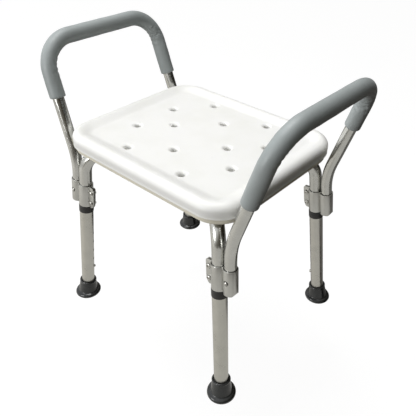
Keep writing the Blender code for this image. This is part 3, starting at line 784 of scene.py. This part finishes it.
# --- lower legs ----------------------------------------------------------------------------
def make_lower_leg(corner, metal, plastic, rubber):
    body = f"leg_{corner}"
    place = leg_frame(corner)
    low, inner, edge = FOOT_BORE_FLOOR + FIT_GAP, LEG_R - LEG_WALL, TUBE_EDGE
    tube = lathe([
        (LEG_R - edge, low), (LEG_R, low + edge), (LEG_R, LEG_TOP - edge), (LEG_R - edge, LEG_TOP),
        (inner, LEG_TOP), (inner, low),
    ], wrap=True, sides=96)
    hole = drill(HOLE_R, 0.006, 0.020, 32)
    holes = [
        moved(Matrix.Translation((0, 0, FIRST_HOLE + i * HOLE_PITCH)) @ turned((1, 0, 0)), hole)
        for i in range(HOLE_COUNT)
    ]
    leg = make_piece(f"leg_tube_{corner}", tube, place, [("DIFFERENCE", merged(*holes))])
    finish_piece(leg, body, f"lower_leg_{corner}", metal)

    over, lip = LEG_R + FIT_GAP, TUBE_R + FIT_GAP
    shelf, top = LEG_TOP + FIT_GAP, LEG_TOP + COLLAR_LIP
    profile = [(COLLAR_R - 0.0003, COLLAR_BOTTOM), (COLLAR_R, COLLAR_BOTTOM + 0.0004)]
    profile += quarter((COLLAR_R - 0.0009, top - 0.0009), (0.0009, 0.0009), 0, 90, 6)
    profile += [(lip + 0.0003, top), (lip, top - 0.0003), (lip, shelf)]
    profile += [(over, shelf), (over, COLLAR_BOTTOM)]
    collar = make_piece(f"leg_ring_{corner}", lathe(profile, wrap=True), place)
    finish_piece(collar, body, f"leg_collar_{corner}", plastic)

    foot = make_piece(f"leg_tip_{corner}", foot_shape(corner), place, smooth=50)
    finish_piece(foot, body, f"foot_{corner}", rubber)


def foot_profile():
    """(radius, height, share of the leg's slant) from the floor up to the mouth of the tip."""
    rows = [(0.0250, 0.0, 0.0), (0.0268, 0.0001, 0.0)]
    rows += [(r, z, 0.0) for r, z in quarter((0.0246, 0.0046), (0.0046, 0.0045), -62, 0, 7)]
    rows += [(r, z, 0.0) for r, z in quarter((0.0246, 0.0046), (0.0046, 0.0054), 0, 62, 8)][1:]
    rows += [(0.0243, 0.0103, 0.0), (0.0232, 0.0107, 0.0), (0.0224, 0.0112, 0.05)]
    rows += [(0.0219, 0.0122, 0.1), (0.0214, 0.0150, 0.25), (0.0208, 0.0195, 0.5)]
    rows += [(0.0200, 0.0255, 0.75), (0.0191, 0.0315, 0.95)]
    rows += [(0.0184, 0.0352, 1.0), (0.0182, 0.0362, 1.0), (0.0184, 0.0370, 1.0)]
    rows += [(r, z, 1.0) for r, z in quarter((0.0169, 0.0394), (0.0021, 0.0022), -40, 120, 12)]
    rows += [(0.0152, 0.0406, 1.0), (0.0147, 0.0398, 1.0)]
    return rows


def foot_shape(corner):
    to_leg = leg_frame(corner).inverted()
    rings = []
    for radius, height, slant in foot_profile():
        normal = Vector((0, 0, 1)).lerp(UP[corner], slant)
        base = frame_at(leg_point(corner, height), inward(corner), normal)
        rings.append([to_leg @ base @ v for v in circle(radius)])
    bore = LEG_R + FIT_GAP
    rings.append(circle(bore, FOOT_BORE_FLOOR + 0.0002))
    rings.append(circle(bore - 0.0002, FOOT_BORE_FLOOR))
    return loft(rings)


# --- brackets ---------------------------------------------------------------------------------
def arc(centre_x, radius, start, end, steps):
    return [
        (centre_x + radius * math.cos(a), radius * math.sin(a))
        for a in (start + (end - start) * i / steps for i in range(steps + 1))
    ]


def bracket_outline():
    """Figure-eight clamp seen from above: a split leg socket with two ears, and the arm's socket."""
    outer, inner = LEG_SOCKET_R, TUBE_R + FIT_GAP
    gap, face = EAR_GAP / 2, EAR_GAP / 2 + EAR_THICK
    meet_x = (ARM_OFFSET**2 + outer**2 - ARM_SOCKET_R**2) / (2 * ARM_OFFSET)
    meet = math.acos(meet_x / outer)
    meet_y = outer * math.sin(meet)
    back = math.atan2(meet_y, meet_x - ARM_OFFSET)
    ear = math.pi - math.asin(face / outer)
    split = math.pi - math.asin(gap / inner)
    return (
        [(-EAR_REACH, -face)]
        + arc(0, outer, -ear, -meet, 28)
        + arc(ARM_OFFSET, ARM_SOCKET_R, -back, back, 56)[1:]
        + arc(0, outer, meet, ear, 28)[1:]
        + [(-EAR_REACH, face), (-EAR_REACH, gap)]
        + arc(0, inner, split, -split, 72)
        + [(-EAR_REACH, -gap)]
    )


def corner_cutter(corner_x, corner_z, width, height, sign_z):
    """Takes an elliptical quarter off a corner: an XZ outline, run along Y."""
    out = math.copysign(1.0, corner_x)
    points = [
        (corner_x - out * width * (1 - math.cos(a)), corner_z + sign_z * height * (1 - math.sin(a)))
        for a in (math.pi / 2 * i / 16 for i in range(17))
    ]
    beyond = corner_x + out * 0.006
    below = corner_z - sign_z * 0.006
    outline = [(beyond, points[0][1]), *points, (points[-1][0], below), (beyond, below)]
    verts, faces = prism([outline], -0.020, 0.020)
    return [Vector((v.x, v.z, v.y)) for v in verts], faces


def make_bracket(corner, metal, steel):
    sx, sy = CORNERS[corner]
    place = bracket_frame(corner)
    bore = [tuple(v.xy) for v in circle(ARM_BORE, 0.0, 72, (ARM_OFFSET, 0))][::-1]
    body = rounded_prism([bracket_outline(), bore], 0.0, BRACKET_HEIGHT, BRACKET_EDGE)
    across = drill(CLAMP_R + FIT_GAP, -0.02, 0.02)
    cuts = [
        corner_cutter(-EAR_REACH, 0.0, *EAR_TAPER, 1),
        corner_cutter(-EAR_REACH, BRACKET_HEIGHT, EAR_TOP_ROUND, EAR_TOP_ROUND, -1),
        corner_cutter(ARM_OFFSET + ARM_SOCKET_R, 0.0, *SOCKET_TAPER, 1),
    ]
    face = EAR_GAP / 2 + EAR_THICK
    groove = lathe([
        (SCREW_SEAT[0], -face - 0.001), (SCREW_SEAT[1], -face - 0.001),
        (SCREW_SEAT[1], SCREW_SEAT[2] - face), (SCREW_SEAT[0], SCREW_SEAT[2] - face),
    ], wrap=True, sides=48)
    for height in CLAMP_HEIGHTS:
        spot = Matrix.Translation((CLAMP_AT, 0, height)) @ turned((0, sx, 0))
        cuts += [moved(spot, across), moved(spot, groove)]
    opening = drill(ARM_BUTTON_HOLE_R, 0.006, 0.020, 40)
    spot = Matrix.Translation((ARM_OFFSET, 0, ARM_BUTTON_UP)) @ turned((0, sx * sy, 0))
    cuts.append(moved(spot, opening))
    step = BRACKET_HEIGHT - MOUTH_DEPTH
    for radius, x in ((TUBE_R + FIT_GAP + MOUTH_STEP, 0.0), (ARM_BORE + MOUTH_STEP, ARM_OFFSET)):
        cuts.append(drill(radius, step, BRACKET_HEIGHT + 0.001, 72, (x, 0)))
    clamp = make_piece(
        f"clamp_body_{corner}", body, place, [("DIFFERENCE", merged(*cuts))], smooth=30
    )
    finish_piece(clamp, "frame", f"bracket_{corner}", metal)
    make_clamp_screws(corner, sx, place, steel)


def make_clamp_screws(corner, sx, place, material):
    ear_face = EAR_GAP / 2 + EAR_THICK + FIT_GAP
    length = 2 * ear_face + NUT_THICK + 0.0012
    chamfer = 0.0005
    nut = loft([
        circle(NUT_R - chamfer, 0.0, 6), circle(NUT_R, chamfer, 6),
        circle(NUT_R, NUT_THICK - chamfer, 6), circle(NUT_R - chamfer, NUT_THICK, 6),
    ])
    hole = drill(CLAMP_R + FIT_GAP, -0.001, NUT_THICK + 0.001, 32)
    for level, height in zip(("lower", "upper"), CLAMP_HEIGHTS):
        across = Matrix.Translation((CLAMP_AT, 0, height)) @ turned((0, sx, 0))
        head = place @ across @ Matrix.Translation((0, 0, -ear_face))
        make_screw(
            f"clamp_fixing_{corner}_{level}", f"clamp_screw_{corner}_{level}", head,
            CLAMP_R, length, CLAMP_HEAD_R, CLAMP_HEAD, material,
        )
        tail = place @ across @ Matrix.Translation((0, 0, ear_face))
        piece = make_piece(f"clamp_hex_{corner}_{level}", nut, tail, [("DIFFERENCE", hole)], smooth=20)
        finish_piece(piece, "frame", f"clamp_nut_{corner}_{level}", material)


# --- arms --------------------------------------------------------------------------------------
def arm_path(side):
    def socket_axis(end, along):
        return bracket_frame(f"{end}_{side}", along) @ Vector((ARM_OFFSET, 0, 0))

    front_top = Vector((SIDES[side] * ARM_TOP.x, -ARM_TOP.y, ARM_TOP.z))
    back_top = Vector((SIDES[side] * ARM_TOP.x, ARM_TOP.y, ARM_TOP.z))
    corners = [
        socket_axis("front", ARM_LOW_END), socket_axis("front", ARM_BEND_S), front_top,
        back_top, socket_axis("back", ARM_BEND_S), socket_axis("back", ARM_LOW_END),
    ]
    return rounded_path(corners, [ARM_BEND_R, ARM_CORNER_R, ARM_CORNER_R, ARM_BEND_R])


def grip_dent(point, distance, angle_in, bends):
    """How far the foam's skin sinks: small uneven folds on the inside of each bend."""
    near = max(math.exp(-(((distance - bend) / FOLD_REACH) ** 2)) for bend in bends)
    inside = max(0.0, math.cos(angle_in) + 0.75) / 1.75
    wander = 3.0 * noise.noise(point * 60.0)
    ripple = 0.5 + 0.5 * math.sin(2 * math.pi * distance / FOLD_PITCH + wander)
    lumps = (0.5 + 0.5 * noise.noise(point * 170.0)) ** 2
    creases = max(0.0, 1 - 6 * abs(noise.noise(point * 85.0)))
    return FOLD_DEPTH * near * inside * (0.5 * ripple**3 + 0.6 * lumps + 0.5 * creases)


def grip_shape(side):
    path = arm_path(side)
    middle = path[-1][0] / 2 - SIDES[side] * GRIP_SLIDE
    start, end = middle - GRIP_LENGTH / 2, middle + GRIP_LENGTH / 2
    bends = fold_middles(path)
    count = int(GRIP_LENGTH / GRIP_STEP)
    plain = GRIP_LENGTH - 2 * GRIP_EDGE
    stations = []
    for share in EDGE_SHARES:
        stations.append((start + GRIP_EDGE * share, edge_radius(share)))
    stations += [(start + GRIP_EDGE + plain * i / count, GRIP_R) for i in range(count + 1)]
    for share in EDGE_SHARES[::-1]:
        stations.append((end - GRIP_EDGE * share, edge_radius(share)))
    centre = sum((p for _, p, _ in path), Vector()) / len(path)
    rings = []
    frames = sweep_frames([place_on(path, d) for d, _ in stations])
    for (distance, radius), (point, normal, across) in zip(stations, frames):
        towards = centre - point
        ring = []
        for i in range(FINE):
            a = 2 * math.pi * i / FINE
            out = normal * math.cos(a) + across * math.sin(a)
            angle_in = out.angle(towards)
            skin = point + out * radius
            lump = noise.noise(skin * 45.0) * GRIP_LUMP
            ring.append(skin - out * (grip_dent(skin, distance, angle_in, bends) - lump))
        rings.append(ring)
    bore = ARM_R + FIT_GAP
    inside = [(d, bore) for d, _ in stations[::6]] + [(stations[-1][0], bore)]
    hollow = sweep_rings([place_on(path, d) for d, _ in inside], [bore] * len(inside))
    return loft(rings + hollow[::-1], wrap=True)


def edge_radius(share):
    """Radius of the grip near its end, rounded over GRIP_EDGE."""
    return GRIP_R - GRIP_EDGE * (1 - math.sqrt(1 - (1 - share) ** 2))


def fold_middles(path):
    """Distances along an arm's path of the creased places just below its two top corners."""
    total = path[-1][0]
    top = max(p.z for _, p, _ in path)
    level = [d for d, p, _ in path if p.z > top - 0.0005]
    half_bend = ARM_CORNER_R * math.pi / 4 * 0.92
    first = min(level) - half_bend - FOLD_DOWN
    return first, total - first


def make_arm(side, metal, soft):
    holes = []
    for end in ("front", "back"):
        corner = f"{end}_{side}"
        sx, sy = CORNERS[corner]
        opening = drill(ARM_BUTTON_HOLE_R, 0.004, 0.016, 40)
        spot = Matrix.Translation((ARM_OFFSET, 0, ARM_BUTTON_UP)) @ turned((0, sx * sy, 0))
        holes.append(moved(bracket_frame(corner) @ spot, opening))
    shape = hollow_tube(arm_path(side), ARM_R, ARM_R - ARM_WALL)
    tube = make_piece(f"arm_bar_{side}", shape, cutters=[("DIFFERENCE", merged(*holes))])
    finish_piece(tube, "frame", f"arm_tube_{side}", metal)
    grip = make_piece(f"arm_foam_{side}", grip_shape(side), smooth=60)
    finish_piece(grip, "frame", f"arm_grip_{side}", soft)


# --- snap buttons ----------------------------------------------------------------------------------
def button_shape(tip, strip_radius, strip_width, strip_length):
    base, dome = strip_radius - 0.0004, tip - BUTTON_DOME
    profile = [(BUTTON_R, base), *quarter((0.0, dome), (BUTTON_R, BUTTON_DOME), 0, 82, 12)]
    pin = lathe(profile, sides=40)
    half_w, half_l, round_r = strip_width / 2, strip_length / 2, strip_width * 0.35
    outline = []
    for turn, (sx, sy) in enumerate(((1, 1), (-1, 1), (-1, -1), (1, -1))):
        for i in range(7):
            angle = math.pi / 2 * (turn + i / 6)
            outline.append((
                sx * (half_l - round_r) + round_r * math.cos(angle),
                sy * (half_w - round_r) + round_r * math.sin(angle),
            ))
    return prism([outline], strip_radius - 0.0008, strip_radius), pin


def make_button(piece, body, node, placement, direction, sizes, material):
    leaf, pin = button_shape(*sizes)
    button = make_piece(piece, leaf, placement @ turned(direction), [("UNION", pin)])
    finish_piece(button, body, node, material)


def make_buttons(corner, material):
    sx, sy = CORNERS[corner]
    make_button(
        f"leg_snap_{corner}", f"leg_catch_{corner}", f"leg_button_{corner}",
        leg_frame(corner, FIRST_HOLE), (1, 0, 0), LEG_BUTTON, material,
    )
    spot = bracket_frame(corner) @ Matrix.Translation((ARM_OFFSET, 0, ARM_BUTTON_UP))
    make_button(
        f"arm_snap_{corner}", f"arm_catch_{corner}", f"arm_button_{corner}",
        spot, (0, sx * sy, 0), ARM_BUTTON, material,
    )


# --- camera, floor and light ---------------------------------------------------------------------
def make_camera():
    turn, down, roll = CAMERA_TURN, CAMERA_DOWN, CAMERA_ROLL
    back = Vector((math.sin(turn) * math.cos(down), -math.cos(turn) * math.cos(down), math.sin(down)))
    right = Vector((math.cos(turn), math.sin(turn), 0.0))
    up = back.cross(right)
    x = right * math.cos(roll) + up * math.sin(roll)
    y = up * math.cos(roll) - right * math.sin(roll)
    data = bpy.data.cameras.new("camera")
    data.lens = CAMERA_LENS
    data.sensor_width = SENSOR_WIDTH
    data.shift_x, data.shift_y = CAMERA_SHIFT
    camera = bpy.data.objects.new("camera", data)
    rows = [(x[i], y[i], back[i], CAMERA_AT[i]) for i in range(3)]
    camera.matrix_world = Matrix((*rows, (0, 0, 0, 1)))
    bpy.context.scene.collection.objects.link(camera)
    bpy.context.scene.camera = camera


def make_floor():
    """Pale floor, low enough for the legs at full length. It throws no light back and shows in no
    reflection, so the undersides stay dark."""
    outline = ((-1, -1), (1, -1), (1, 1), (-1, 1))
    levels = FLOOR_Z - FLOOR_THICK, FLOOR_Z
    slab = [[Vector((x * FLOOR_HALF, y * FLOOR_HALF, z)) for x, y in outline] for z in levels]
    floor = bpy.data.objects.new("floor", new_mesh("floor", loft(slab)))
    bpy.context.scene.collection.objects.link(floor)
    paint = Nodes("floor_paint", FLOOR_PAINT, 0.0, 0.7)
    paint.shader.inputs["Emission Color"].default_value = (1.0, 1.0, 1.0, 1.0)
    paint.shader.inputs["Emission Strength"].default_value = FLOOR_GLOW
    floor.data.materials.append(paint.material)
    floor.visible_diffuse = False
    floor.visible_glossy = False


def make_light(name, at, size, energy, colour=(1.0, 1.0, 1.0), target=LIGHT_TARGET):
    data = bpy.data.lights.new(name, "AREA")
    data.shape = "RECTANGLE"
    data.size, data.size_y = size
    data.energy = energy
    data.color = colour
    light = bpy.data.objects.new(name, data)
    light.location = at
    light.rotation_euler = (target - Vector(at)).to_track_quat("-Z", "Y").to_euler()
    bpy.context.scene.collection.objects.link(light)
    return light


def make_sky():
    """A room bright above and to the camera's left, and dark low down on the right. It lights the
    stool and shows in its gloss; the camera itself sees the plain backdrop instead."""
    world = bpy.data.worlds.new("studio")
    bpy.context.scene.world = world
    world.use_nodes = True
    tree = world.node_tree
    background = tree.nodes["Background"]
    background.inputs["Strength"].default_value = SKY_STRENGTH
    direction = tree.nodes.new("ShaderNodeTexCoord").outputs["Generated"]
    facing = tree.nodes.new("ShaderNodeVectorMath")
    facing.operation = "DOT_PRODUCT"
    facing.inputs[1].default_value = SKY_BRIGHT_SIDE.normalized()
    tree.links.new(direction, facing.inputs[0])
    shift = tree.nodes.new("ShaderNodeMapRange")
    shift.inputs["From Min"].default_value = -1.0
    tree.links.new(facing.outputs["Value"], shift.inputs["Value"])
    ramp = tree.nodes.new("ShaderNodeValToRGB")
    elements = ramp.color_ramp.elements
    while len(elements) < len(SKY_STOPS):
        elements.new(0.5)
    for element, (position, colour) in zip(elements, SKY_STOPS):
        element.position = position
        element.color = (*colour, 1.0)
    tree.links.new(shift.outputs["Result"], ramp.inputs["Fac"])
    to_camera = tree.nodes.new("ShaderNodeMix")
    to_camera.data_type = "RGBA"
    to_camera.inputs[7].default_value = (*BACKDROP, 1.0)
    tree.links.new(tree.nodes.new("ShaderNodeLightPath").outputs["Is Camera Ray"], to_camera.inputs[0])
    tree.links.new(ramp.outputs["Color"], to_camera.inputs[6])
    tree.links.new(to_camera.outputs[2], background.inputs["Color"])


def make_studio():
    make_sky()
    for light in LIGHTS:
        make_light(*light)
    for name, y, energy in CARDS:
        facing_up = Vector((0.0, y, 1.0))
        card = make_light(name, (0.0, y, CARD_Z), CARD_SIZE, energy, CARD_COLOUR, facing_up)
        card.visible_camera = False
        card.visible_diffuse = False
    bpy.context.scene.view_settings.view_transform = "Standard"


# --- assembly ------------------------------------------------------------------------------------
make_camera()
make_floor()
make_studio()

frame_metal = aluminium("frame_aluminium", (0.69, 0.69, 0.66), 0.22)
leg_metal = aluminium("leg_aluminium", (0.66, 0.65, 0.60), 0.29, (1.0, 1.0, 0.02))
clamp_metal = aluminium("clamp_aluminium", (0.64, 0.64, 0.61), 0.32, (1.0, 1.0, 0.03))
plastic, rubber, steel, soft = black_plastic(), foot_rubber(), screw_steel(), foam()

make_seat(seat_plastic())
make_cross_tube("cross_tube_straight", "front_left", "back_right", False, frame_metal)
make_cross_tube("cross_tube_dipped", "front_right", "back_left", True, frame_metal)
make_seat_screws(steel)
for corner_name in CORNERS:
    make_lower_leg(corner_name, leg_metal, plastic, rubber)
    make_bracket(corner_name, clamp_metal, steel)
    make_buttons(corner_name, steel)
for side_name in SIDES:
    make_arm(side_name, frame_metal, soft)
